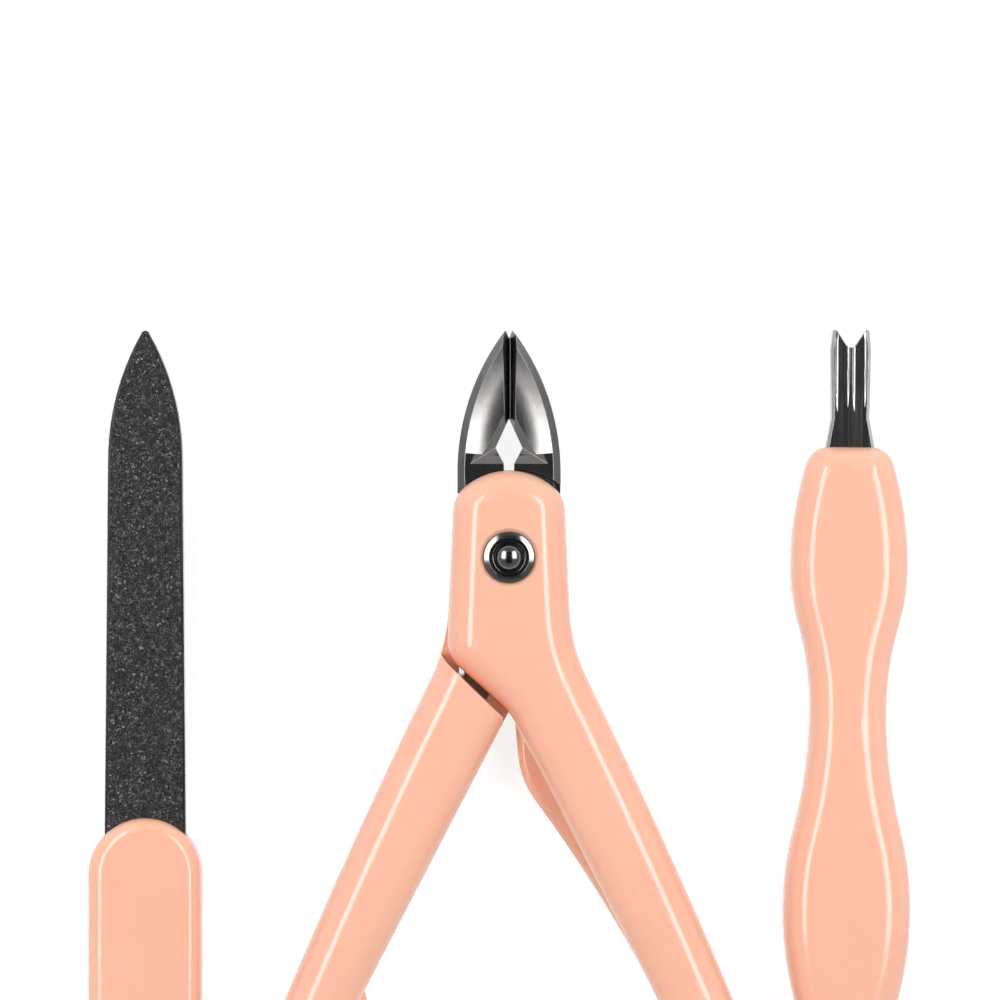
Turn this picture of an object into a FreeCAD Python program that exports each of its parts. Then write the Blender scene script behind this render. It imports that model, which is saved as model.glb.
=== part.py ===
import FreeCAD, Part
import math
import os

import Sketcher

# A pedicure kit laid out flat: a nail file, a cuticle nipper and a fork
# trimmer, side by side with their tips on one line.  Millimetres, the table is
# the plane z = 0, +Y runs to the tips and +Z to the viewer.
SIZES = {
    "kit_width": 82.3,
    "nipper_offset": 1.0,
    "fit": 0.05,
    "running_gap": 0.1,
    "peg_radius": 0.9,
    "peg_depth": 1.4,
    # nail file
    "file_blade_shown": 48.9,
    "file_root_width": 8.2,
    "file_shoulder_width": 7.5,
    "file_point_length": 13.0,
    "file_tip_half": 0.42,
    "file_tip_back": 0.3,
    "file_core": 1.2,
    "file_grit": 0.2,
    "file_bare_edge": 0.3,
    "file_root_depth": 5.0,
    "file_tang_width": 5.0,
    "file_tang_length": 34.0,
    "file_grit_under": 1.5,
    "file_handle_length": 86.0,
    "file_handle_width": 11.3,
    "file_handle_thickness": 5.0,
    "file_edge_round": 1.5,
    "file_front_peg": 20.0,
    "file_rear_peg": 62.0,
    # fork trimmer
    "fork_shown": 11.7,
    "fork_thickness": 2.0,
    "fork_root_half": 2.4,
    "fork_neck_half": 1.87,
    "fork_neck_up": 2.9,
    "fork_head_half": 2.0,
    "fork_head_up": 9.7,
    "fork_tip_half": 1.82,
    "fork_tip_land": 0.36,
    "fork_notch_half": 0.55,
    "fork_notch_back": 1.4,
    "fork_notch_round": 0.6,
    "fork_chamfer": 0.28,
    "wheel_radius": 115.0,
    "wheel_half": 0.42,
    "wheel_corner": 0.4,
    "wheel_depth": 0.15,
    "wheel_back": 2.4,
    "wheel_out": 0.85,
    "fork_tang_width": 3.2,
    "fork_tang_length": 30.0,
    "trimmer_length": 108.0,
    "trimmer_thickness": 7.0,
    "trimmer_edge_round": 2.8,
    "trimmer_lean": 0.44,
    "shoulder_half": 4.35,
    "shoulder_down": 1.7,
    "bulge_half": 5.85,
    "bulge_down": 12.0,
    "waist_half": 3.8,
    "waist_down": 26.3,
    "belly_half": 6.35,
    "belly_down": 46.3,
    "tail_half": 3.1,
    "tail_down": 70.0,
    "curve_share": 0.4,
    "trimmer_front_peg": 18.0,
    "trimmer_rear_peg": 50.0,
    # nipper, measured from its pivot
    "head_plate": 2.6,
    "joint_plate": 1.7,
    "nipper_edge_round": 3.0,
    "corner_round": 3.3,
    "head_half": 5.55,
    "head_radius": 6.8,
    "head_rise": 1.85,
    "neck_out": 6.2,
    "neck_down": 8.9,
    "neck_round": 18.0,
    "grip_round": 600.0,
    "bow_out": 25.2,
    "bow_down": 51.0,
    "bow_round": 26.0,
    "heel_out": 20.6,
    "heel_down": 80.0,
    "heel_width": 6.6,
    "heel_round": 3.2,
    "bow_in": 17.9,
    "bow_in_down": 50.0,
    "crotch_down": 15.3,
    "crotch_round": 4.0,
    "slit_out": 6.2,
    "slit_down": 9.87,
    "slit_gap": 0.6,
    "finger_start_down": 16.6,
    "finger_top_in": 1.1,
    "finger_top_down": 22.4,
    "finger_end_down": 43.9,
    "finger_round": 9.0,
    "finger_high": 4.0,
    "finger_edge_round": 0.8,
    "swell_start_down": 43.4,
    "swell_top_in": 13.6,
    "swell_top_down": 47.0,
    "swell_end_share": 0.22,
    "swell_end_inset": 0.6,
    "swell_round": 5.0,
    "window_out": 4.75,
    "window_down": 11.4,
    "window_width": 0.5,
    "window_length": 0.8,
    "jaw_reach": 22.7,
    "jaw_half": 5.15,
    "jaw_base_up": 8.5,
    "jaw_tip_land": 0.3,
    "jaw_tip_notch": 1.5,
    "jaw_gap": 0.04,
    "jaw_root_radius": 8.85,
    "plate_radius": 8.65,
    "plate_half": 4.5,
    "slot_half": 0.5,
    "scoop_start": 4.8,
    "scoop_end": 46.0,
    "bevel_start": 6.0,
    "ridge_inset": 0.72,
    "scoop_half": 4.0,
    "scoop_depth": 0.63,
    "outer_bevel": 0.38,
    "edge_drop": 0.95,
    "edge_land": 0.3,
    "edge_slant": 0.55,
    "edge_front_lean": 0.27,
    "edge_back_lean": 0.5,
    "relief_top": 13.8,
    "relief_half": 1.35,
    "relief_mid": 10.9,
    "relief_bottom": 9.6,
    "relief_depth": 1.0,
    "relief_slope": 58.0,
    "tang_width": 3.0,
    "tang_length": 46.0,
    "tang_angle": 26.3,
    "tang_side": 3.04,
    "tang_peg": 26.0,
    "heel_peg_share": 0.32,
    "pin_radius": 1.1,
    "dome_radius": 1.4,
    "dome_height": 0.6,
    "bush_radius": 2.5,
    "bush_groove": 1.6,
    "bush_dish": 0.5,
    "bush_fall": 0.17,
    "bush_round": 4.0,
    "bush_proud": 0.2,
    "bush_recess": 0.25,
    "bush_hole_gap": 0.06,
    "hole_lip": 0.35,
}

# Formulas that several pieces share.
TIP_LINE = (
    "max(Size.file_blade_shown + Size.file_handle_length;"
    " Size.jaw_reach + Size.heel_down; Size.fork_shown + Size.trimmer_length) / 2"
)
FILE_X = "(Size.file_handle_width - Size.kit_width) / 2"
FILE_Y = TIP_LINE + " - Size.file_blade_shown"
FILE_MID = "Size.file_handle_thickness / 2"
TRIMMER_X = (
    "Size.kit_width / 2 - Size.belly_half"
    " + Size.belly_down * sin(Size.trimmer_lean * 1 deg)"
)
TRIMMER_Y = TIP_LINE + " - Size.fork_shown"
TRIMMER_MID = "Size.trimmer_thickness / 2"
NIPPER_X = "Size.nipper_offset"
NIPPER_Y = TIP_LINE + " - Size.jaw_reach"
NIPPER_HIGH = "(2 * Size.head_plate + 2 * Size.joint_plate + Size.running_gap)"
NIPPER_MID = NIPPER_HIGH + " / 2"
PARTING = "(" + NIPPER_MID + " + Size.running_gap / 2)"

doc = FreeCAD.newDocument("pedicure_kit")
sheet = doc.addObject("Spreadsheet::Sheet", "Size")
for row, (alias, size) in enumerate(SIZES.items(), start=1):
    sheet.set("A%d" % row, alias)
    sheet.set("B%d" % row, str(size))
    sheet.setAlias("B%d" % row, alias)
doc.recompute()


def number(formula):
    """The value of a formula of the sheet's cells."""
    return float(doc.Size.evalExpression(formula))


def new_body(name, x, y, turned=False, lean=None):
    """An empty body placed on the table; a turned one lies on its other face,
    and a leaning one has its tip swung to the right."""
    body = doc.addObject("PartDesign::Body", name)
    body.Label = name
    if lean:
        swing = FreeCAD.Rotation(FreeCAD.Vector(0, 0, -1), number(lean))
        body.Placement = FreeCAD.Placement(FreeCAD.Vector(0, 0, 0), swing)
        body.setExpression("Placement.Rotation.Angle", lean)
    if turned:
        half_turn = FreeCAD.Rotation(FreeCAD.Vector(0, 1, 0), 180)
        body.Placement = FreeCAD.Placement(FreeCAD.Vector(0, 0, 0), half_turn)
        body.setExpression("Placement.Base.z", NIPPER_HIGH)
    body.setExpression("Placement.Base.x", x)
    body.setExpression("Placement.Base.y", y)
    doc.recompute()
    return body


def new_sketch(body, name, lift="0", plane="XY_Plane", axis=None, angle="0"):
    """A sketch on one of the body's own planes, lifted along its normal and
    turned about an axis of that plane."""
    sketch = body.newObject("Sketcher::SketchObject", body.Name + "_" + name)
    base = [f for f in body.Origin.OriginFeatures if f.Role == plane][0]
    sketch.AttachmentSupport = [(base, "")]
    sketch.MapMode = "FlatFace"
    if axis:
        turn = FreeCAD.Rotation(FreeCAD.Vector(*axis), number(angle))
        sketch.AttachmentOffset = FreeCAD.Placement(FreeCAD.Vector(0, 0, 0), turn)
        sketch.setExpression("AttachmentOffset.Rotation.Angle", angle)
    sketch.setExpression("AttachmentOffset.Base.z", lift)
    return sketch


def arc_between(start, end, radius, turn):
    """The shorter arc of a radius from start to end, turning left or right."""
    chord = end - start
    sign = 1 if turn == "left" else -1
    normal = FreeCAD.Vector(-chord.y, chord.x, 0) * (sign / chord.Length)
    half = chord.Length / 2
    rise = math.sqrt(max(radius * radius - half * half, 0))
    middle = (start + end) / 2 + normal * (rise - radius)
    return Part.Arc(start, middle, end)


def fix_point(sketch, edge, point, axis, formula):
    """Holds one coordinate of a point at the value of a formula."""
    if formula == "0":
        line = -2 if axis == "X" else -1
        sketch.addConstraint(Sketcher.Constraint("PointOnObject", edge, point, line))
        return
    kind = "Distance" + axis
    rule = Sketcher.Constraint(kind, -1, 1, edge, point, number(formula))
    index = sketch.addConstraint(rule)
    sketch.renameConstraint(index, "edge_%d_%s" % (edge, axis.lower()))
    sketch.setExpression("Constraints.edge_%d_%s" % (edge, axis.lower()), formula)


def draw_outline(sketch, corners):
    """A closed outline.  A corner is (x, y) after a straight edge, or
    (x, y, radius, turn) after an arc."""
    first = sketch.GeometryCount
    spots = [FreeCAD.Vector(number(c[0]), number(c[1]), 0) for c in corners]
    for i, corner in enumerate(corners):
        if len(corner) == 2:
            edge = Part.LineSegment(spots[i - 1], spots[i])
        else:
            edge = arc_between(spots[i - 1], spots[i], number(corner[2]), corner[3])
        sketch.addGeometry(edge, False)
    end_points = []
    for i, spot in enumerate(spots):
        near = (sketch.getPoint(first + i, 2) - spot).Length
        far = (sketch.getPoint(first + i, 1) - spot).Length
        end_points.append(2 if near < far else 1)
    for i, corner in enumerate(corners):
        follower = (i + 1) % len(corners)
        joint = (first + i, end_points[i], first + follower, 3 - end_points[follower])
        sketch.addConstraint(Sketcher.Constraint("Coincident", *joint))
        fix_point(sketch, first + i, end_points[i], "X", corner[0])
        fix_point(sketch, first + i, end_points[i], "Y", corner[1])
        if len(corner) == 4:
            rule = Sketcher.Constraint("Radius", first + i, number(corner[2]))
            index = sketch.addConstraint(rule)
            sketch.renameConstraint(index, "edge_%d_radius" % (first + i))
            sketch.setExpression("Constraints.edge_%d_radius" % (first + i), corner[2])
    doc.recompute()
    return sketch


def draw_circle(sketch, x, y, radius):
    """A circle held by its centre and its radius."""
    centre = FreeCAD.Vector(number(x), number(y), 0)
    up = FreeCAD.Vector(0, 0, 1)
    edge = sketch.addGeometry(Part.Circle(centre, up, number(radius)), False)
    fix_point(sketch, edge, 3, "X", x)
    fix_point(sketch, edge, 3, "Y", y)
    index = sketch.addConstraint(Sketcher.Constraint("Radius", edge, number(radius)))
    sketch.renameConstraint(index, "edge_%d_radius" % edge)
    sketch.setExpression("Constraints.edge_%d_radius" % edge, radius)
    doc.recompute()
    return sketch


def box_outline(left, right, bottom, top):
    return [(left, bottom), (right, bottom), (right, top), (left, top)]


def both_sides(right_side):
    """A right side drawn from its top down, closed by its mirror image."""
    left_side = []
    for i in range(len(right_side) - 1, -1, -1):
        x, y = right_side[i][:2]
        arc = ()
        if i + 1 < len(right_side):
            arc = right_side[i + 1][2:]
        left_side.append(("-(" + x + ")", y) + tuple(arc))
    return right_side, left_side


def pad(body, sketch, length):
    feature = body.newObject("PartDesign::Pad", sketch.Name + "_pad")
    feature.Profile = sketch
    feature.setExpression("Length", length)
    doc.recompute()
    return feature


def pocket(body, sketch, length, upward=False, slope=None):
    """Cuts a sketch out of the body, and makes sure that something went."""
    before = body.Shape.Volume
    feature = body.newObject("PartDesign::Pocket", sketch.Name + "_pocket")
    feature.Profile = sketch
    feature.setExpression("Length", length)
    feature.Reversed = upward
    if slope:
        feature.setExpression("TaperAngle", slope)
    doc.recompute()
    if body.Shape.Volume > before - 1e-4:
        raise RuntimeError(feature.Name + " cuts nothing")
    return feature


def groove(body, sketch, angle, backward=False):
    """Turns a sketch about its own upright axis and cuts the result away."""
    before = body.Shape.Volume
    feature = body.newObject("PartDesign::Groove", sketch.Name + "_groove")
    feature.Profile = sketch
    feature.ReferenceAxis = (sketch, ["V_Axis"])
    feature.setExpression("Angle", angle)
    feature.Reversed = backward
    doc.recompute()
    if body.Shape.Volume > before - 1e-4:
        raise RuntimeError(feature.Name + " cuts nothing")
    return feature


def dress(body, kind, name, edges, size):
    """Rounds or bevels edges of the body, given by their numbers."""
    if not edges:
        raise RuntimeError(body.Name + " has no edge for " + name)
    base = body.Tip
    feature = body.newObject("PartDesign::" + kind, body.Name + "_" + name)
    feature.Base = (base, ["Edge%d" % n for n in edges])
    feature.setExpression("Radius" if kind == "Fillet" else "Size", size)
    doc.recompute()
    if feature.Shape.isNull() or "Invalid" in feature.State:
        raise RuntimeError(feature.Name + " fails")
    return feature


def flat_edges(body, height, keep=None):
    """Edges of the body that lie at one height."""
    level = number(height)
    found = []
    for n, edge in enumerate(body.Tip.Shape.Edges, start=1):
        box = edge.BoundBox
        if abs(box.ZMin - level) < 1e-4 and abs(box.ZMax - level) < 1e-4:
            if keep is None or keep(edge):
                found.append(n)
    return found


def rim_edges(body, height):
    """Edges at a height that stand out, where no wall goes on past them."""
    level = number(height)
    shape = body.Tip.Shape
    found = []
    for n in flat_edges(body, height):
        walls = [f.BoundBox for f in shape.ancestorsOfType(shape.Edges[n - 1], Part.Face)]
        if not any(w.ZMin < level - 1e-3 and w.ZMax > level + 1e-3 for w in walls):
            found.append(n)
    return found


def upright_edges(body, spots):
    """The upright edges that stand on the given points."""
    found = []
    for x, y in spots:
        for n, edge in enumerate(body.Tip.Shape.Edges, start=1):
            ends = [v.Point for v in edge.Vertexes]
            if len(ends) != 2 or abs(ends[0].z - ends[1].z) < 1e-4:
                continue
            if all(math.hypot(p.x - number(x), p.y - number(y)) < 1e-3 for p in ends):
                found.append(n)
    return found


def add_pegs(body, places, start, length):
    """Round pegs that grow up from a height into the shell."""
    for i, (x, y) in enumerate(places):
        sketch = new_sketch(body, "peg_%d" % i, start)
        pad(body, draw_circle(sketch, x, y, "Size.peg_radius"), length)


def add_sockets(body, places, start, length):
    """Round sockets that go down from a height, with room for the pegs."""
    for i, (x, y) in enumerate(places):
        sketch = new_sketch(body, "socket_%d" % i, start)
        pocket(body, draw_circle(sketch, x, y, "Size.peg_radius + Size.fit"), length)


# Nail file.
FILE_PEGS = [("0", "-Size.file_front_peg"), ("0", "-Size.file_rear_peg")]


def file_blade_outline(inset, root):
    """The blade's pointed outline, drawn in from its edges by an inset."""
    half_tip = "Size.file_tip_half - %s / 2" % inset
    half_shoulder = "Size.file_shoulder_width / 2 - %s" % inset
    tip = "Size.file_blade_shown - Size.file_tip_back - %s" % inset
    shoulder = "Size.file_blade_shown - Size.file_point_length"
    wide = "((%s) - (%s))" % (half_shoulder, half_tip)
    high = "((%s) - (%s))" % (tip, shoulder)
    point_radius = "(%s^2 + %s^2) / (2 * %s)" % (wide, high, wide)
    tip_radius = "((%s)^2 + Size.file_tip_back^2) / (2 * Size.file_tip_back)" % half_tip
    right = [
        (half_tip, tip),
        (half_shoulder, shoulder, point_radius, "right"),
        ("Size.file_root_width / 2 - %s" % inset, root),
    ]
    right, left = both_sides(right)
    crown = right[0] + (tip_radius, "right")
    return [crown] + right[1:], left


blade = new_body("file_blade", FILE_X, FILE_Y)
right, left = file_blade_outline("0", "-Size.file_root_depth")
tang = [
    ("Size.file_tang_width / 2", "-Size.file_root_depth"),
    ("Size.file_tang_width / 2", "-Size.file_tang_length"),
    ("-Size.file_tang_width / 2", "-Size.file_tang_length"),
    ("-Size.file_tang_width / 2", "-Size.file_root_depth"),
]
sketch = new_sketch(blade, "outline", FILE_MID + " - Size.file_core / 2")
pad(blade, draw_outline(sketch, right + tang + left), "Size.file_core")
sketch = new_sketch(blade, "peg_hole", FILE_MID + " + Size.file_core")
draw_circle(sketch, *FILE_PEGS[0], "Size.peg_radius + Size.fit")
pocket(blade, sketch, "2 * Size.file_core")


def grit_coat(name, lift):
    coat = new_body(name, FILE_X, FILE_Y)
    right, left = file_blade_outline("Size.file_bare_edge", "-Size.file_grit_under")
    sketch = draw_outline(new_sketch(coat, "outline", lift), right + left)
    pad(coat, sketch, "Size.file_grit")


grit_coat("file_front_grit", FILE_MID + " + Size.file_core / 2")
grit_coat("file_back_grit", FILE_MID + " - Size.file_core / 2 - Size.file_grit")


def file_shell(name, front):
    """One half of the file's handle, with its share of the blade's seat."""
    shell = new_body(name, FILE_X, FILE_Y)
    half = "Size.file_handle_width / 2"
    low = "%s - Size.file_handle_length" % half
    outline = [
        ("0", "0", half, "right"),
        (half, "-" + half, half, "right"),
        (half, low),
        ("0", "-Size.file_handle_length", half, "right"),
        ("-" + half, low, half, "right"),
        ("-" + half, "-" + half),
    ]
    start = FILE_MID if front else "0"
    sketch = draw_outline(new_sketch(shell, "outline", start), outline)
    pad(shell, sketch, FILE_MID)
    face = "Size.file_handle_thickness" if front else "0"
    dress(shell, "Fillet", "edge", flat_edges(shell, face), "Size.file_edge_round")
    root = "Size.file_root_width / 2 + Size.fit"
    tang = "Size.file_tang_width / 2 + Size.fit"
    seats = [
        ("mouth", root, "-Size.file_grit_under - Size.fit", "Size.file_grit"),
        ("root", root, "-Size.file_root_depth - Size.fit", "0"),
        ("tang", tang, "-Size.file_tang_length - Size.fit", "0"),
    ]
    for seat, wide, end, extra in seats:
        sketch = new_sketch(shell, seat, FILE_MID)
        draw_outline(sketch, box_outline("-(%s)" % wide, wide, end, "1"))
        pocket(shell, sketch, "Size.file_core / 2 + Size.fit + " + extra, upward=front)
    if front:
        end = FILE_MID + " - Size.peg_depth"
        add_pegs(shell, FILE_PEGS, end, "Size.peg_depth + Size.file_core")
    else:
        add_sockets(shell, FILE_PEGS, FILE_MID, "Size.peg_depth + Size.fit")


file_shell("file_front_shell", True)
file_shell("file_back_shell", False)

# Fork trimmer.
TRIMMER_PEGS = [("0", "-Size.trimmer_front_peg"), ("0", "-Size.trimmer_rear_peg")]


def s_curve(wide_half, wide_down, thin_half, thin_down, share):
    """Two arcs between a widest and a narrowest place, upright at both."""
    across = "(Size.%s - Size.%s)" % (wide_half, thin_half)
    along = "(Size.%s - Size.%s)" % (thin_down, wide_down)
    both = "((%s^2 + %s^2) / (2 * %s))" % (across, along, across)
    x = "Size.%s - %s * %s" % (wide_half, share, across)
    y = "-Size.%s - %s * %s" % (wide_down, share, along)
    return x, y, "%s * %s" % (share, both), "(1 - %s) * %s" % (share, both)


def trimmer_outline():
    across = "(Size.bulge_half - Size.shoulder_half)"
    along = "(Size.bulge_down - Size.shoulder_down)"
    lean = "(2 * atan(%s / %s))" % (across, along)
    top_radius = "Size.shoulder_down / (1 - sin(%s))" % lean
    top_half = "Size.shoulder_half - %s * cos(%s)" % (top_radius, lean)
    bulge_radius = "(%s^2 + %s^2) / (2 * %s)" % (across, along, across)
    share = "Size.curve_share"
    x1, y1, wide1, thin1 = s_curve("bulge_half", "bulge_down", "waist_half", "waist_down", share)
    x2, y2, wide2, thin2 = s_curve("belly_half", "belly_down", "waist_half", "waist_down", share)
    x3, y3, wide3, thin3 = s_curve("belly_half", "belly_down", "tail_half", "tail_down", share)
    right = [
        (top_half, "0"),
        ("Size.shoulder_half", "-Size.shoulder_down", top_radius, "right"),
        ("Size.bulge_half", "-Size.bulge_down", bulge_radius, "right"),
        (x1, y1, wide1, "right"),
        ("Size.waist_half", "-Size.waist_down", thin1, "left"),
        (x2, y2, thin2, "left"),
        ("Size.belly_half", "-Size.belly_down", wide2, "right"),
        (x3, y3, wide3, "right"),
        ("Size.tail_half", "-Size.tail_down", thin3, "left"),
        ("Size.tail_half", "Size.tail_half - Size.trimmer_length"),
    ]
    right, left = both_sides(right)
    left[0] = left[0] + ("Size.tail_half", "right")
    tail_end = ("0", "-Size.trimmer_length", "Size.tail_half", "right")
    return right + [tail_end] + left


fork = new_body("fork_blade", TRIMMER_X, TRIMMER_Y, lean="Size.trimmer_lean")
tang = "Size.fork_tang_width / 2"
right = [
    ("Size.fork_notch_half", "Size.fork_shown - Size.fork_notch_back"),
    ("Size.fork_tip_half - Size.fork_tip_land", "Size.fork_shown"),
    ("Size.fork_tip_half", "Size.fork_shown"),
    ("Size.fork_head_half", "Size.fork_head_up"),
    ("Size.fork_neck_half", "Size.fork_neck_up"),
    ("Size.fork_root_half", "0"),
    ("Size.fork_root_half", "-Size.fork_root_half"),
    (tang, "-Size.fork_root_half"),
    (tang, "-Size.fork_tang_length"),
]
right, left = both_sides(right)
notch = right[0] + ("Size.fork_notch_round", "left")
sketch = new_sketch(fork, "outline", TRIMMER_MID + " - Size.fork_thickness / 2")
pad(fork, draw_outline(sketch, [notch] + right[1:] + left), "Size.fork_thickness")
fork_top = TRIMMER_MID + " + Size.fork_thickness / 2"


def beside_fork(edge):
    """Keeps the long side edges between the handle and the tips."""
    box = edge.BoundBox
    low = number("Size.fork_root_half") / -2
    out = number("Size.fork_neck_half") * 0.95
    return box.YMin > low and box.YLength > 1.6 and abs(edge.CenterOfMass.x) > out


dress(fork, "Chamfer", "side", flat_edges(fork, fork_top, beside_fork), "Size.fork_chamfer")

# Two shallow grooves side by side, each ground with the rim of a wheel: flat
# across, with rounded corners.
deepest = "Size.wheel_back - Size.fork_shown"
sketch = new_sketch(fork, "hollow", deepest, "XZ_Plane", (0, 0, 1), "90")
sketch.setExpression("AttachmentOffset.Base.y", fork_top + " - Size.wheel_depth + Size.wheel_radius")
rim = "-Size.wheel_radius"
corner = "Size.wheel_corner / 2 - Size.wheel_radius"
side = "Size.wheel_half + Size.wheel_corner * sin(60 deg)"
for out in ("-Size.wheel_out", "Size.wheel_out"):
    draw_outline(sketch, [
        (corner, out + " - (" + side + ")"),
        (rim, out + " - Size.wheel_half", "Size.wheel_corner", "right"),
        (rim, out + " + Size.wheel_half"),
        (corner, out + " + " + side, "Size.wheel_corner", "right"),
    ])
groove(fork, sketch, "360")
sketch = new_sketch(fork, "peg_hole", fork_top)
draw_circle(sketch, *TRIMMER_PEGS[0], "Size.peg_radius + Size.fit")
pocket(fork, sketch, "2 * Size.fork_thickness")


def trimmer_shell(name, front):
    """One half of the trimmer's handle, with its share of the fork's seat."""
    shell = new_body(name, TRIMMER_X, TRIMMER_Y, lean="Size.trimmer_lean")
    start = TRIMMER_MID if front else "0"
    sketch = draw_outline(new_sketch(shell, "outline", start), trimmer_outline())
    pad(shell, sketch, TRIMMER_MID)
    face = "Size.trimmer_thickness" if front else "0"
    dress(shell, "Fillet", "edge", flat_edges(shell, face), "Size.trimmer_edge_round")
    root = "Size.fork_root_half + Size.fit"
    tang = "Size.fork_tang_width / 2 + Size.fit"
    seats = [
        ("root", root, "-Size.fork_root_half - Size.fit"),
        ("tang", tang, "-Size.fork_tang_length - Size.fit"),
    ]
    for seat, wide, end in seats:
        sketch = new_sketch(shell, seat, TRIMMER_MID)
        draw_outline(sketch, box_outline("-(%s)" % wide, wide, end, "1"))
        pocket(shell, sketch, "Size.fork_thickness / 2 + Size.fit", upward=front)
    if front:
        end = TRIMMER_MID + " - Size.peg_depth - Size.fork_thickness / 2"
        add_pegs(shell, TRIMMER_PEGS, end, "Size.peg_depth + 1.5 * Size.fork_thickness")
    else:
        depth = "Size.peg_depth + Size.fork_thickness / 2 + Size.fit"
        add_sockets(shell, TRIMMER_PEGS, TRIMMER_MID, depth)


trimmer_shell("trimmer_front_shell", True)
trimmer_shell("trimmer_back_shell", False)

# Nipper.  Its two halves are the same mouldings and levers turned over about
# the long axis: the right half has its lever in front, the left half behind.
JAW_BASE = "Size.jaw_base_up - Size.ridge_inset * 3"
HEAD_CORNER = "Size.head_rise + sqrt(Size.head_radius^2 - Size.head_half^2)"
TANG_X = "Size.tang_peg * sin(Size.tang_angle * 1 deg) - Size.tang_side"
TANG_Y = "-Size.tang_peg * cos(Size.tang_angle * 1 deg)"
HEEL_IN = "(Size.heel_out - Size.heel_width * 0.95)"
HEEL_IN_DOWN = "(Size.heel_down - Size.heel_width * 0.3)"


def down_the_heel(bow, heel, share):
    """A value some way along the handle's lower part, from bow to heel."""
    return "(%s + (%s - %s) * Size.%s)" % (bow, heel, bow, share)


MID_BOW = "(Size.bow_out + Size.bow_in) / 2"
MID_HEEL = "(Size.heel_out + " + HEEL_IN + ") / 2"
HEEL_PEG_X = down_the_heel("(" + MID_BOW + ")", MID_HEEL, "heel_peg_share")
HEEL_PEG_Y = "-" + down_the_heel("Size.bow_down", "Size.heel_down", "heel_peg_share")
NIPPER_PEGS = [(TANG_X, TANG_Y), (HEEL_PEG_X, HEEL_PEG_Y)]
NECK = ("Size.neck_out", "-Size.neck_down")
BOW = ("Size.bow_out", "-Size.bow_down")
HEEL = ("Size.heel_out", "-Size.heel_down")
HEEL_INNER = (HEEL_IN, "-" + HEEL_IN_DOWN)
BOW_INNER = ("Size.bow_in", "-Size.bow_in_down")
CROTCH = ("-Size.fit", "-Size.crotch_down")
SLIT_END = ("-Size.slit_out", "-Size.slit_down")
HEAD_LEFT = ("-Size.head_half", HEAD_CORNER)
HEAD_RIGHT = ("Size.head_half", HEAD_CORNER)


def along_inner_edge(down):
    """A point of the handle's straight inner edge, given by how low it is."""
    share = "((%s - Size.crotch_down) / (Size.bow_in_down - Size.crotch_down))" % down
    return "(Size.bow_in + Size.fit) * %s - Size.fit" % share, "-(%s)" % down


HANDLE = [
    HEAD_LEFT,
    HEAD_RIGHT + ("Size.head_radius", "right"),
    NECK,
    BOW + ("Size.grip_round", "right"),
    HEEL,
    HEEL_INNER,
    BOW_INNER,
    CROTCH,
    SLIT_END,
]
# The finger belly of the right handle runs tangent out of its inner edge.
FINGER_END = along_inner_edge("Size.finger_end_down")
FINGER_TOP = ("Size.finger_top_in", "-Size.finger_top_down")
FINGER_START = along_inner_edge("Size.finger_start_down")
FINGER_IN = "(%s - Size.finger_top_in)" % FINGER_END[0]
FINGER_LONG = "(Size.finger_end_down - Size.finger_top_down)"
EDGE_LEAN = "atan((Size.bow_in + Size.fit) / (Size.bow_in_down - Size.crotch_down))"
FINGER_LEAN = "(atan(%s / %s) - %s)" % (FINGER_IN, FINGER_LONG, EDGE_LEAN)
FINGER_BLEND = "sqrt(%s^2 + %s^2) / (2 * sin(%s))" % (FINGER_IN, FINGER_LONG, FINGER_LEAN)
FINGER = [
    FINGER_END,
    FINGER_TOP + (FINGER_BLEND, "left"),
    FINGER_START,
    (FINGER_START[0] + " + Size.tang_width", FINGER_START[1]),
    (FINGER_END[0] + " + Size.tang_width", FINGER_END[1]),
]
# The left handle's swelling sits lower down.
SWELL_START = along_inner_edge("Size.swell_start_down")
SWELL_TOP = ("Size.swell_top_in", "-Size.swell_top_down")
SWELL_END = (
    down_the_heel("Size.bow_in", HEEL_IN, "swell_end_share") + " + Size.swell_end_inset",
    "-" + down_the_heel("Size.bow_in_down", HEEL_IN_DOWN, "swell_end_share"),
)
SWELL = [
    SWELL_END,
    SWELL_TOP,
    SWELL_START,
    (SWELL_START[0] + " + Size.tang_width", SWELL_START[1]),
    (SWELL_END[0] + " + Size.tang_width", SWELL_END[1]),
]


def handle_rounds(shell):
    """Rounds the corners of the handle's outline, seen from the front."""
    heels = upright_edges(shell, [HEEL, HEEL_INNER])
    dress(shell, "Fillet", "heel", heels, "Size.heel_round")
    dress(shell, "Fillet", "bow", upright_edges(shell, [BOW, BOW_INNER]), "Size.bow_round")
    dress(shell, "Fillet", "neck", upright_edges(shell, [NECK]), "Size.neck_round")


def tang_sketch(body, name, grow):
    """The tang's bar, along the handle, drawn larger by a clearance."""
    sketch = new_sketch(body, name, PARTING, axis=(0, 0, 1), angle="Size.tang_angle")
    sketch.setExpression("AttachmentOffset.Base.x", "-Size.tang_side")
    half = "Size.tang_width / 2 + " + grow
    low = "Size.tang_width / 2 - Size.tang_length"
    outline = [
        (half, "-Size.tang_width"),
        (half, low),
        ("0", low + " - (" + half + ")", half, "right"),
        ("-(" + half + ")", low, half, "right"),
        ("-(" + half + ")", "-Size.tang_width"),
    ]
    return draw_outline(sketch, outline)


def round_rim(edge):
    """Keeps the rim of the bush's hole."""
    return edge.BoundBox.DiagonalLength < 4 * number("Size.bush_radius")


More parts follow.
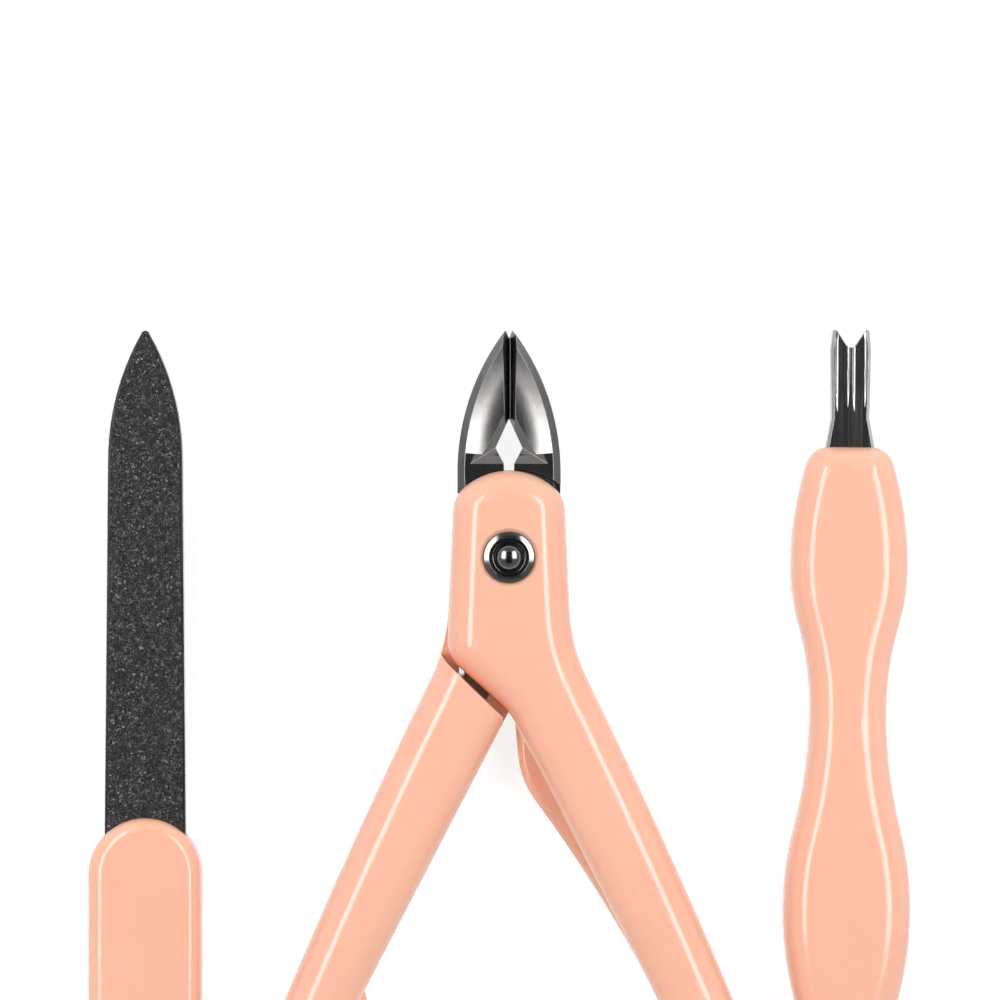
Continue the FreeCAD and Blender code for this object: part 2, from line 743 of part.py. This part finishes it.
def long_shell(name, turned, swollen):
    """Handle half with a head plate.  Its steel lever lies in its back."""
    shell = new_body(name, NIPPER_X, NIPPER_Y, turned)
    sketch = draw_outline(new_sketch(shell, "outline", PARTING), HANDLE)
    pad(shell, sketch, "Size.head_plate + Size.joint_plate")
    handle_rounds(shell)
    corners = upright_edges(shell, [HEAD_LEFT, HEAD_RIGHT, SLIT_END])
    dress(shell, "Fillet", "corner", corners, "Size.corner_round")
    dress(shell, "Fillet", "crotch", upright_edges(shell, [CROTCH]), "Size.crotch_round")
    if swollen:
        ledge = NIPPER_HIGH + " - Size.finger_high"
        sketch = draw_outline(new_sketch(shell, "swelling", ledge), SWELL)
        pad(shell, sketch, "Size.finger_high")
        dress(shell, "Fillet", "swell", upright_edges(shell, [SWELL_TOP]), "Size.swell_round")
    face = flat_edges(shell, NIPPER_HIGH)
    dress(shell, "Fillet", "edge", face, "Size.nipper_edge_round")
    if swollen:
        dress(shell, "Fillet", "ledge", rim_edges(shell, ledge), "Size.finger_edge_round")
    wide = "Size.plate_half + Size.fit"
    side = "Size.jaw_half + Size.head_half"
    base = JAW_BASE + " - Size.fit"
    seat = [
        (wide, "0"),
        ("0", "-(" + wide + ")", wide, "right"),
        ("-(" + wide + ")", "0", wide, "right"),
        ("-(" + wide + ")", base),
        ("-(" + side + ")", base),
        ("-(" + side + ")", "Size.jaw_reach"),
        (wide, "Size.jaw_reach"),
    ]
    sketch = draw_outline(new_sketch(shell, "plate_seat", PARTING), seat)
    pocket(shell, sketch, "Size.joint_plate", upward=True)
    sketch = tang_sketch(shell, "tang_seat", "Size.fit")
    pocket(shell, sketch, "Size.joint_plate", upward=True)
    sketch = new_sketch(shell, "bush_hole", PARTING)
    draw_circle(sketch, "0", "0", "Size.bush_radius + Size.bush_hole_gap")
    pocket(shell, sketch, NIPPER_HIGH, upward=True)
    rim = flat_edges(shell, NIPPER_HIGH, round_rim)
    dress(shell, "Chamfer", "lip", rim, "Size.hole_lip")
    end = PARTING + " - Size.peg_depth"
    add_pegs(shell, NIPPER_PEGS, end, "Size.peg_depth + 1.5 * Size.joint_plate")
    if swollen:
        sketch = new_sketch(shell, "window", PARTING)
        sketch.setExpression("AttachmentOffset.Base.x", "Size.window_out")
        sketch.setExpression("AttachmentOffset.Base.y", "-Size.window_down")
        half = "Size.window_width / 2"
        long = "Size.window_length / 2"
        draw_outline(sketch, box_outline("-" + half, half, "-" + long, long))
        pocket(shell, sketch, NIPPER_HIGH, upward=True)


def on_finger(edge):
    """Keeps the side of the belly that faces the other handle."""
    middle = edge.CenterOfMass
    long = number("Size.bow_in_down - Size.crotch_down")
    share = (-middle.y - number("Size.crotch_down")) / long
    side = number("Size.bow_in") * share + number("Size.tang_width") / 2
    return edge.BoundBox.YLength > 0.1 and middle.x < side


def short_shell(name, turned, belly):
    """Handle half that ends at the slit below the other half's head plate."""
    shell = new_body(name, NIPPER_X, NIPPER_Y, turned)
    if belly:
        sketch = draw_outline(new_sketch(shell, "belly"), FINGER)
        pad(shell, sketch, "Size.finger_high")
        top = upright_edges(shell, [FINGER_TOP])
        dress(shell, "Fillet", "belly", top, "Size.finger_round")
        ledge = flat_edges(shell, "Size.finger_high", on_finger)
        dress(shell, "Fillet", "ledge", ledge, "Size.finger_edge_round")
    pad(shell, draw_outline(new_sketch(shell, "outline"), HANDLE), PARTING)
    handle_rounds(shell)
    low = -number("Size.slit_down") - 2
    face = flat_edges(shell, "0", lambda edge: edge.BoundBox.YMin < low)
    dress(shell, "Fillet", "edge", face, "Size.nipper_edge_round")
    slit = [
        ("-Size.head_half * 2", "Size.jaw_reach"),
        ("Size.head_half * 2", "Size.jaw_reach"),
        ("Size.head_half * 2", "Size.slit_out - Size.slit_down"),
        ("Size.slit_out", "-Size.slit_down - Size.slit_gap"),
        ("Size.slit_gap", "-Size.crotch_down - Size.slit_gap"),
        ("Size.slit_gap", "-2 * Size.crotch_down"),
        ("-Size.head_half * 2", "-2 * Size.crotch_down"),
    ]
    sketch = draw_outline(new_sketch(shell, "slit", NIPPER_HIGH), slit)
    pocket(shell, sketch, "2 * " + NIPPER_HIGH)
    add_sockets(shell, NIPPER_PEGS, PARTING, "Size.peg_depth + Size.fit")


long_shell("right_front_shell", False, False)
long_shell("left_back_shell", True, True)
short_shell("right_back_shell", False, True)
short_shell("left_front_shell", True, False)

# The jaw's outer edge is an arc, upright at the jaw's base.
JAW_WIDE = "(Size.jaw_half - Size.jaw_gap / 2 - Size.jaw_tip_land)"
JAW_LONG = "(Size.jaw_reach - Size.jaw_base_up)"
JAW_SWEEP = "((%s^2 + %s^2) / (2 * %s))" % (JAW_WIDE, JAW_LONG, JAW_WIDE)
JAW_FACE = "(" + NIPPER_HIGH + " - Size.head_plate)"


def ring_sketch(body, name, back):
    """A section through the jaw, in a plane on the axis of its outer arc and
    turned back from the jaw's base by an angle."""
    sketch = new_sketch(body, name, "-Size.jaw_base_up", "XZ_Plane", (0, 1, 0), back)
    sketch.setExpression("AttachmentOffset.Base.x", JAW_SWEEP + " - Size.jaw_half")
    return sketch


def lever(name, turned):
    """A steel lever: cutting jaw, half-thickness joint plate and tang.  A
    turned one has the kit's front at its own back."""
    steel = new_body(name, NIPPER_X, NIPPER_Y, turned)
    front, up, down = (JAW_FACE, " + ", " - ")
    if turned:
        front, up, down = ("Size.head_plate", " - ", " + ")
    top = "sqrt(Size.plate_radius^2 - Size.%s^2)"
    plate = [
        ("Size.plate_half", top % "plate_half", "Size.plate_radius", "right"),
        ("Size.plate_half", "0"),
        ("0", "-Size.plate_half", "Size.plate_half", "right"),
        ("-Size.plate_half", "0", "Size.plate_half", "right"),
        ("-Size.plate_half", JAW_BASE),
        ("-Size.jaw_half", JAW_BASE),
        ("-Size.jaw_half", "Size.relief_bottom - Size.edge_land"),
        ("-Size.slot_half", "Size.relief_bottom - Size.edge_land"),
        ("-Size.slot_half", top % "slot_half"),
    ]
    sketch = draw_outline(new_sketch(steel, "plate", PARTING), plate)
    pad(steel, sketch, "Size.joint_plate")
    root = "sqrt(Size.jaw_root_radius^2 - Size.%s^2)"
    jaw = [
        ("-Size.jaw_half", "Size.jaw_base_up"),
        ("-Size.jaw_gap / 2 - Size.jaw_tip_land", "Size.jaw_reach", JAW_SWEEP, "right"),
        ("Size.edge_land", "Size.jaw_reach - Size.jaw_tip_notch"),
        ("Size.edge_land", "Size.relief_bottom"),
        ("-Size.slot_half", "Size.relief_bottom"),
        ("-Size.slot_half", root % "slot_half"),
        ("-Size.jaw_half", root % "jaw_half", "Size.jaw_root_radius", "left"),
    ]
    sketch = draw_outline(new_sketch(steel, "jaw", "Size.head_plate"), jaw)
    pad(steel, sketch, "2 * Size.joint_plate + Size.running_gap")
    pad(steel, tang_sketch(steel, "tang", "0"), "Size.joint_plate")

    # Bevels along the outer arc, on both faces.
    sketch = ring_sketch(steel, "bevel", "Size.bevel_start")
    inner = "Size.ridge_inset - " + JAW_SWEEP
    outer = "-Size.ridge_inset - " + JAW_SWEEP
    far = "2 * Size.outer_bevel"
    draw_outline(sketch, [(inner, JAW_FACE), (outer, JAW_FACE), (outer, JAW_FACE + " - " + far)])
    back = "Size.head_plate"
    draw_outline(sketch, [(inner, back), (outer, back), (outer, back + " + " + far)])
    groove(steel, sketch, "Size.bevel_start + Size.scoop_end", backward=True)

    # The hollow-ground front, a ring-shaped scoop.
    sketch = ring_sketch(steel, "scoop", "-Size.scoop_start")
    tube = "(Size.scoop_half^2 + Size.scoop_depth^2) / (2 * Size.scoop_depth)"
    middle = "Size.ridge_inset + Size.scoop_half - " + JAW_SWEEP
    draw_circle(sketch, middle, front + down + "Size.scoop_depth" + up + tube, tube)
    groove(steel, sketch, "Size.scoop_end - Size.scoop_start", backward=True)

    # The cutting edge: a steep wall in front, a bevel behind it, and between
    # them a slanted land, so that the closed jaws show no gap.
    start = "-(Size.relief_top + Size.relief_mid) / 2"
    sketch = new_sketch(steel, "edge", start, "XZ_Plane")
    tall = "2 * Size.joint_plate"
    middle = NIPPER_MID + down + "Size.edge_drop"
    slant = "Size.edge_slant * Size.edge_land / 2"
    near = ("-Size.jaw_gap / 2" + up + slant, middle + up + "Size.edge_land / 2")
    far = ("-Size.jaw_gap / 2" + down + slant, middle + down + "Size.edge_land / 2")
    draw_outline(sketch, [
        (near[0] + " - Size.edge_front_lean * " + tall, near[1] + up + tall),
        near,
        far,
        (far[0] + " - Size.edge_back_lean * " + tall, far[1] + down + tall),
        ("Size.jaw_half", far[1] + down + tall),
        ("Size.jaw_half", near[1] + up + tall),
    ])
    pocket(steel, sketch, "Size.jaw_reach")

    # A diamond-shaped hole behind the cutting edge.  Its upper sides are
    # bevelled at both faces, deeper at the front for the scoop.
    sketch = new_sketch(steel, "relief", NIPPER_HIGH)
    draw_outline(sketch, [
        ("-Size.jaw_gap / 2", "Size.relief_top"),
        ("-Size.relief_half", "Size.relief_mid"),
        ("-Size.slot_half", "Size.relief_bottom - Size.edge_land"),
        ("Size.relief_half", "Size.relief_bottom - Size.edge_land"),
        ("Size.relief_half", "Size.relief_top"),
    ])
    pocket(steel, sketch, "2 * " + NIPPER_HIGH)
    upper_side = [
        ("-Size.relief_half", "Size.relief_mid"),
        ("Size.relief_half", "Size.relief_mid"),
        ("Size.relief_half", "2 * Size.relief_top - Size.relief_mid"),
    ]
    depths = ["Size.relief_depth", "(Size.relief_depth - Size.scoop_depth)"]
    if turned:
        depths.reverse()
    levels = [
        ("upper", JAW_FACE + " - " + depths[0], True),
        ("lower", "Size.head_plate + " + depths[1], False),
    ]
    for side, level, upward in levels:
        sketch = draw_outline(new_sketch(steel, side + "_bevel", level), upper_side)
        pocket(steel, sketch, "1.25 * Size.relief_depth", upward, "Size.relief_slope")

    for hole, x, y, radius in [
        ("pin_hole", "0", "0", "Size.pin_radius + Size.fit"),
        ("peg_hole", TANG_X, TANG_Y, "Size.peg_radius + Size.fit"),
    ]:
        sketch = draw_circle(new_sketch(steel, hole, NIPPER_HIGH), x, y, radius)
        pocket(steel, sketch, "2 * " + NIPPER_HIGH)


lever("left_jaw", False)
lever("right_jaw", True)


def turned_piece(name, outline):
    """A round piece on the pivot's axis, from a half section."""
    piece = new_body(name, NIPPER_X, NIPPER_Y)
    sketch = draw_outline(new_sketch(piece, "section", plane="XZ_Plane"), outline)
    feature = piece.newObject("PartDesign::Revolution", name + "_turn")
    feature.Profile = sketch
    feature.ReferenceAxis = (sketch, ["V_Axis"])
    feature.Angle = 360
    doc.recompute()


def bush(name, seat, crest, up):
    """A dished bush from its seat on the lever to its crest."""
    sign = "+" if up else "-"
    turn = "left" if up else "right"
    bore = "Size.pin_radius + Size.fit"
    shoulder = "%s %s -Size.bush_dish" % (crest, sign)
    lip = "Size.bush_radius - Size.bush_dish"
    turned_piece(name, [
        (bore, seat),
        ("Size.bush_radius", seat),
        ("Size.bush_radius", "%s %s -Size.bush_fall" % (crest, sign)),
        (lip, crest, "Size.bush_round", turn),
        ("Size.bush_groove", shoulder),
        (bore, shoulder),
    ])


FRONT_CREST = NIPPER_HIGH + " + Size.bush_proud"
REAR_CREST = "Size.bush_recess"
bush("front_bush", JAW_FACE + " + Size.fit", FRONT_CREST, True)
bush("rear_bush", "Size.head_plate - Size.fit", REAR_CREST, False)
front_floor = FRONT_CREST + " - Size.bush_dish"
rear_floor = REAR_CREST + " + Size.bush_dish"
dome = "(Size.dome_radius^2 + Size.dome_height^2) / (2 * Size.dome_height)"
turned_piece("pivot_pin", [
    ("0", rear_floor + " - Size.dome_height * 0.8"),
    ("Size.dome_radius", rear_floor, dome, "left"),
    ("Size.pin_radius", rear_floor),
    ("Size.pin_radius", front_floor),
    ("Size.dome_radius", front_floor),
    ("0", front_floor + " + Size.dome_height", dome, "left"),
])

failed = [o.Name for o in doc.Objects if "Invalid" in o.State or "Error" in o.State]
if failed:
    raise RuntimeError("not built: " + ", ".join(failed))
os.makedirs("parts", exist_ok=True)
for body in doc.Objects:
    if body.TypeId != "PartDesign::Body":
        continue
    shape = body.Shape
    if shape.isNull() or not shape.isValid() or len(shape.Solids) != 1:
        raise RuntimeError(body.Label + " is not one valid solid")
    shape.exportStep("parts/" + body.Label + ".step")
    print(body.Label, round(shape.Volume, 2))
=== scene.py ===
import bpy
import math
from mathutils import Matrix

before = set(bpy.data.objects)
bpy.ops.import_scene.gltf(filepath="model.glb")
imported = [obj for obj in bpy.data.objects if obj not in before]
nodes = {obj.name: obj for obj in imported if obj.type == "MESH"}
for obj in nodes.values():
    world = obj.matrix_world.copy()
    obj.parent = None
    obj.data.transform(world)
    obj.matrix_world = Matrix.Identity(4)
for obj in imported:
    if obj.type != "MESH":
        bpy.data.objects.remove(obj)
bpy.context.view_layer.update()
scene = bpy.context.scene
scene.view_settings.view_transform = "Standard"

# Colours of the pieces, linear.
PEACH = (0.980, 0.527, 0.355, 1.0)
PEACH_DEEP = (0.962, 0.471, 0.297, 1.0)
STEEL_FILE = (0.60, 0.59, 0.585, 1.0)
STEEL_JAW = (0.50, 0.487, 0.478, 1.0)
STEEL_FORK = (0.50, 0.49, 0.484, 1.0)
STEEL_BUSH = (0.44, 0.432, 0.425, 1.0)
GRAIN_PALE = (0.022, 0.0216, 0.0196, 1.0)
# Darkest grain tone, at the gaps between grains: painted shade.
GRAIN_GAP_SHADE = (0.0075, 0.0074, 0.0068, 1.0)
# Near black for pits: painted shade in pits.
PIT_PAINTED_SHADE = (0.003, 0.003, 0.003, 1.0)
GRIT_CURL = (0.215, 0.211, 0.187, 1.0)
# Pale grey specks on grain facets: painted glints.
GRIT_PAINTED_GLINT = (0.465, 0.455, 0.405, 1.0)

# Textures are scaled in millimetres.
MM = 1000
GRAINS_PER_MM = 6.0
EDGE_ROUND = 0.00006
PEEL_DEPTH = 0.00002
MARK_DEPTH = 0.000004
GRIT_DEPTH = 0.0001

# The stage: floor, dark card overhead, lamps at both sides and camera.
FLOOR_CENTRE, FLOOR_SIZE = (0, 0.03, -0.0001), (4, 4)
CARD_CENTRE, CARD_SIZE = (0, 0.05, 0.36), (0.27, 0.5)
LAMP_HEIGHT = 0.433
STRIP_X, STRIP_Y, STRIP_SIZE, STRIP_WATTS = 0.25, 0.165, (0.14, 0.47), 1.70
SOFT_X, SOFT_Y, SOFT_SIZE, SOFT_WATTS = 0.28, 0.20, (0.20, 0.40), 0.92
DAYLIGHT = (0.96, 0.975, 1.11)
NEUTRAL = (1, 1, 1)
LENS, SENSOR = 150, 36
VIEW_CENTRE = (0.0001, 0.05045, 0.0045)
VIEW_WIDTH = 0.1


class Graph:
    """A material's node tree, with short calls to add and link nodes."""

    def __init__(self, owner):
        owner.use_nodes = True
        self.owner = owner
        self.tree = owner.node_tree
        self.tree.nodes.clear()

    def add(self, kind, inputs=None, **settings):
        node = self.tree.nodes.new(kind)
        for key, value in settings.items():
            setattr(node, key, value)
        for key, value in (inputs or {}).items():
            if isinstance(value, bpy.types.NodeSocket):
                self.tree.links.new(value, node.inputs[key])
            else:
                node.inputs[key].default_value = value
        return node

    def place(self, scale=(MM, MM, MM)):
        """Object coordinates in millimetres, stretched."""
        where = self.add("ShaderNodeTexCoord").outputs["Object"]
        shift = {"Vector": where, "Scale": scale}
        return self.add("ShaderNodeMapping", shift).outputs["Vector"]

    def noise(self, where, scale, detail, rough=0.5, warp=0.0):
        setting = {"Vector": where, "Scale": scale, "Detail": detail}
        setting.update({"Roughness": rough, "Distortion": warp})
        return self.add("ShaderNodeTexNoise", setting).outputs["Fac"]

    def span(self, value, low, high, to_low, to_high, **settings):
        """A value carried from one range to another."""
        setting = {"Value": value, "From Min": low, "From Max": high}
        setting.update({"To Min": to_low, "To Max": to_high})
        return self.add("ShaderNodeMapRange", setting, **settings).outputs["Result"]

    def math(self, operation, a, b=0.0):
        return self.add("ShaderNodeMath", {0: a, 1: b}, operation=operation).outputs[0]

    def tint(self, factor, low, high):
        """A colour between two others. The node's colour sockets are 6 and 7."""
        inputs = {"Factor": factor, 6: low, 7: high}
        return self.add("ShaderNodeMix", inputs, data_type="RGBA").outputs[2]

    def bump(self, height, depth, strength, normal=None):
        setting = {"Height": height, "Distance": depth, "Strength": strength}
        if normal is not None:
            setting["Normal"] = normal
        return self.add("ShaderNodeBump", setting).outputs["Normal"]

    def finish(self, shader):
        self.add("ShaderNodeOutputMaterial", {"Surface": shader.outputs[0]})
        return self.owner


def new_graph(name):
    return Graph(bpy.data.materials.new(name))


def plastic():
    """Glossy moulded plastic: faint flow marks and a slight orange peel."""
    g = new_graph("peach_plastic")
    where = g.place()
    flow = g.noise(g.place((MM, 0.3 * MM, MM)), 0.12, 2.0)
    colour = g.tint(g.span(flow, 0.35, 0.65, 0, 1), PEACH, PEACH_DEEP)
    colour = g.tint(0.25, PEACH, colour)
    rough = g.span(g.noise(where, 0.8, 3.0), 0.3, 0.7, 0.13, 0.19)
    peel = g.bump(g.noise(where, 0.45, 1.0), PEEL_DEPTH, 0.35)
    shader = g.add("ShaderNodeBsdfPrincipled", {
        "Base Color": colour, "Roughness": rough, "Normal": peel, "IOR": 1.5,
        "Subsurface Weight": 0.7, "Subsurface Scale": 0.0012,
        "Subsurface Radius": (1.0, 0.32, 0.16),
    })
    return g.finish(shader)


def steel(name, colour, rough, brush, marks):
    """Polished steel with fine grinding marks along the tool."""
    g = new_graph(name)
    lines = g.noise(g.place((MM * brush, 0.06 * MM, MM * brush)), 1.0, 3.0, 0.6)
    cloud = g.noise(g.place(), 0.5, 2.0)
    dull = tuple(0.86 * c for c in colour[:3]) + (1.0,)
    mixed = g.tint(g.span(cloud, 0.3, 0.7, 0.0, 1.0), dull, colour)
    edge = g.add("ShaderNodeBevel", {"Radius": EDGE_ROUND}, samples=6)
    normal = g.bump(lines, MARK_DEPTH, 0.25 * marks, edge.outputs["Normal"])
    least, most = rough * (1 - 0.2 * marks), rough * (1 + 0.25 * marks)
    shader = g.add("ShaderNodeBsdfPrincipled", {
        "Base Color": mixed, "Metallic": 1.0, "Normal": normal,
        "Roughness": g.span(lines, 0.3, 0.7, least, most),
    })
    return g.finish(shader)


def grit():
    """Dark abrasive grains in a bond, with pale curls, painted shade between grains and in pits,
    and painted glints on random grain facets.
    """
    g = new_graph("abrasive_grit")
    where = g.place()
    curls = g.noise(where, 2.7, 1.5, 0.5, 1.3)
    ridge = g.math("ABSOLUTE", g.math("SUBTRACT", curls, 0.5))
    line = g.span(ridge, 0.0, 0.062, 1.0, 0.0)
    patch = g.span(g.noise(where, 2.0, 2.0), 0.36, 0.62, 0.25, 1.0)
    curl = g.math("MULTIPLY", line, patch)
    cells = g.add("ShaderNodeTexVoronoi", {"Vector": where, "Scale": GRAINS_PER_MM})
    grain = cells.outputs["Distance"]
    chance = g.add("ShaderNodeSeparateColor", {0: cells.outputs["Color"]}).outputs[0]
    # Random grains get painted glints of their facets as pale colour.
    painted_glint = g.span(chance, 0.965, 0.99, 0.0, 0.5)
    # Noise patches darkened as pits: painted shade.
    pit_shade_mask = g.span(g.noise(where, 2.6, 1.0), 0.42, 0.32, 0.0, 1.0)
    # Grain tone, darker from each grain's middle towards the gaps: painted shade between grains.
    colour = g.tint(g.span(grain, 0.1, 0.6, 0, 1), GRAIN_PALE, GRAIN_GAP_SHADE)
    colour = g.tint(pit_shade_mask, colour, PIT_PAINTED_SHADE)
    colour = g.tint(curl, colour, GRIT_CURL)
    colour = g.tint(painted_glint, colour, GRIT_PAINTED_GLINT)
    height = g.math("ADD", g.math("MULTIPLY", grain, -0.6), curl)
    shader = g.add("ShaderNodeBsdfPrincipled", {
        "Base Color": colour, "Metallic": 0.2, "IOR": 1.35,
        "Normal": g.bump(height, GRIT_DEPTH, 0.7),
        "Roughness": g.span(curl, 0.0, 1.0, 0.6, 0.4),
    })
    return g.finish(shader)


def dress(names, material):
    for name in names:
        slots = nodes[name].material_slots
        for slot in slots:
            slot.material = material
        if not slots:
            nodes[name].data.materials.append(material)


PLASTIC_NODES = [
    "right_front_shell", "right_back_shell", "left_front_shell", "left_back_shell",
    "file_front_shell", "file_back_shell", "trimmer_front_shell", "trimmer_back_shell",
]
GRIT_NODES = ["file_front_grit", "file_back_grit"]
# Nodes, material, colour, roughness, marks per millimetre and their strength.
STEELS = [
    (["left_jaw", "right_jaw"], "jaw_steel", STEEL_JAW, 0.20, 6, 0.4),
    (["fork_blade"], "fork_steel", STEEL_FORK, 0.19, 8, 1.3),
    (["file_blade"], "file_steel", STEEL_FILE, 0.22, 8, 1.0),
    (["front_bush", "rear_bush"], "bush_steel", STEEL_BUSH, 0.15, 4, 0.6),
    (["pivot_pin"], "pin_steel", STEEL_BUSH, 0.17, 4, 0.6),
]
dress(PLASTIC_NODES, plastic())
for names, *look in STEELS:
    dress(names, steel(*look))
dress(GRIT_NODES, grit())


def flat_sheet(name, centre, size):
    """A level rectangle."""
    x, y, z = centre
    w, h = size[0] / 2, size[1] / 2
    mesh = bpy.data.meshes.new(name)
    corners = [(x - w, y - h, z), (x + w, y - h, z), (x + w, y + h, z), (x - w, y + h, z)]
    mesh.from_pydata(corners, [], [(0, 1, 2, 3)])
    sheet = bpy.data.objects.new(name, mesh)
    scene.collection.objects.link(sheet)
    return sheet


def floor_white():
    """A pale floor that is white where it is seen, also in a mirror."""
    g = new_graph("floor_white")
    path = g.add("ShaderNodeLightPath").outputs
    seen = g.math("MAXIMUM", path["Is Camera Ray"], path["Is Glossy Ray"])
    seen = g.math("MAXIMUM", seen, path["Is Transmission Ray"])
    lit = g.add("ShaderNodeBsdfDiffuse", {"Color": (0.8, 0.8, 0.8, 1)})
    half_lit = g.add("ShaderNodeBsdfDiffuse", {"Color": (0.25, 0.25, 0.25, 1)})
    glow = g.add("ShaderNodeEmission", {"Color": (1, 1, 1, 1), "Strength": 0.84})
    pale = g.add("ShaderNodeAddShader", {0: half_lit.outputs[0], 1: glow.outputs[0]})
    sides = {0: seen, 1: lit.outputs[0], 2: pale.outputs[0]}
    return g.finish(g.add("ShaderNodeMixShader", sides))


def card_black():
    g = new_graph("card_black")
    speck = g.noise(g.place(), 0.2, 2.0)
    shade = g.tint(speck, (0.012, 0.012, 0.012, 1), (0.02, 0.02, 0.02, 1))
    return g.finish(g.add("ShaderNodeBsdfDiffuse", {"Color": shade}))


floor = flat_sheet("floor", FLOOR_CENTRE, FLOOR_SIZE)
floor.data.materials.append(floor_white())
card = flat_sheet("dark_card", CARD_CENTRE, CARD_SIZE)
card.data.materials.append(card_black())
card.visible_camera = False


def add_lamp(name, x, y, size, watts, colour):
    """A long rectangular lamp, tilted towards the middle of the table."""
    lamp = bpy.data.lights.new(name, "AREA")
    lamp.shape = "RECTANGLE"
    lamp.size, lamp.size_y = size
    lamp.energy = watts
    lamp.color = colour
    holder = bpy.data.objects.new(name, lamp)
    scene.collection.objects.link(holder)
    holder.location = (x, y, LAMP_HEIGHT)
    holder.rotation_euler = (0, math.atan2(x, LAMP_HEIGHT), 0)
    return holder


def light_steel(holder, state):
    """Keeps a lamp off the steel pieces, or on them alone."""
    group = bpy.data.collections.new(holder.name + "_steel")
    for row in STEELS:
        for name in row[0]:
            group.objects.link(nodes[name])
    for entry in group.collection_objects:
        entry.light_linking.link_state = state
    holder.light_linking.receiver_collection = group


for side, sign in (("left", -1), ("right", 1)):
    strip = add_lamp("strip_" + side, sign * STRIP_X, STRIP_Y, STRIP_SIZE, STRIP_WATTS, DAYLIGHT)
    light_steel(strip, "EXCLUDE")
    soft = add_lamp("soft_" + side, sign * SOFT_X, SOFT_Y, SOFT_SIZE, SOFT_WATTS, NEUTRAL)
    light_steel(soft, "INCLUDE")

# The surroundings: bright near the table, dim overhead.
scene.world = bpy.data.worlds.new("studio")
g = Graph(scene.world)
around = g.add("ShaderNodeTexCoord").outputs["Generated"]
rise = g.add("ShaderNodeSeparateXYZ", {0: around}).outputs["Z"]
level = g.span(rise, 0.20, 0.52, 0.9, 0.15, interpolation_type="SMOOTHSTEP")
back = g.add("ShaderNodeBackground", {"Color": (1, 1, 1, 1), "Strength": level})
g.add("ShaderNodeOutputWorld", {"Surface": back.outputs[0]})

lens = bpy.data.cameras.new("camera")
lens.lens = LENS
lens.sensor_width = SENSOR
lens.clip_start = 0.01
camera = bpy.data.objects.new("camera", lens)
scene.collection.objects.link(camera)
camera.location = VIEW_CENTRE
camera.location.z += VIEW_WIDTH * LENS / SENSOR
scene.camera = camera
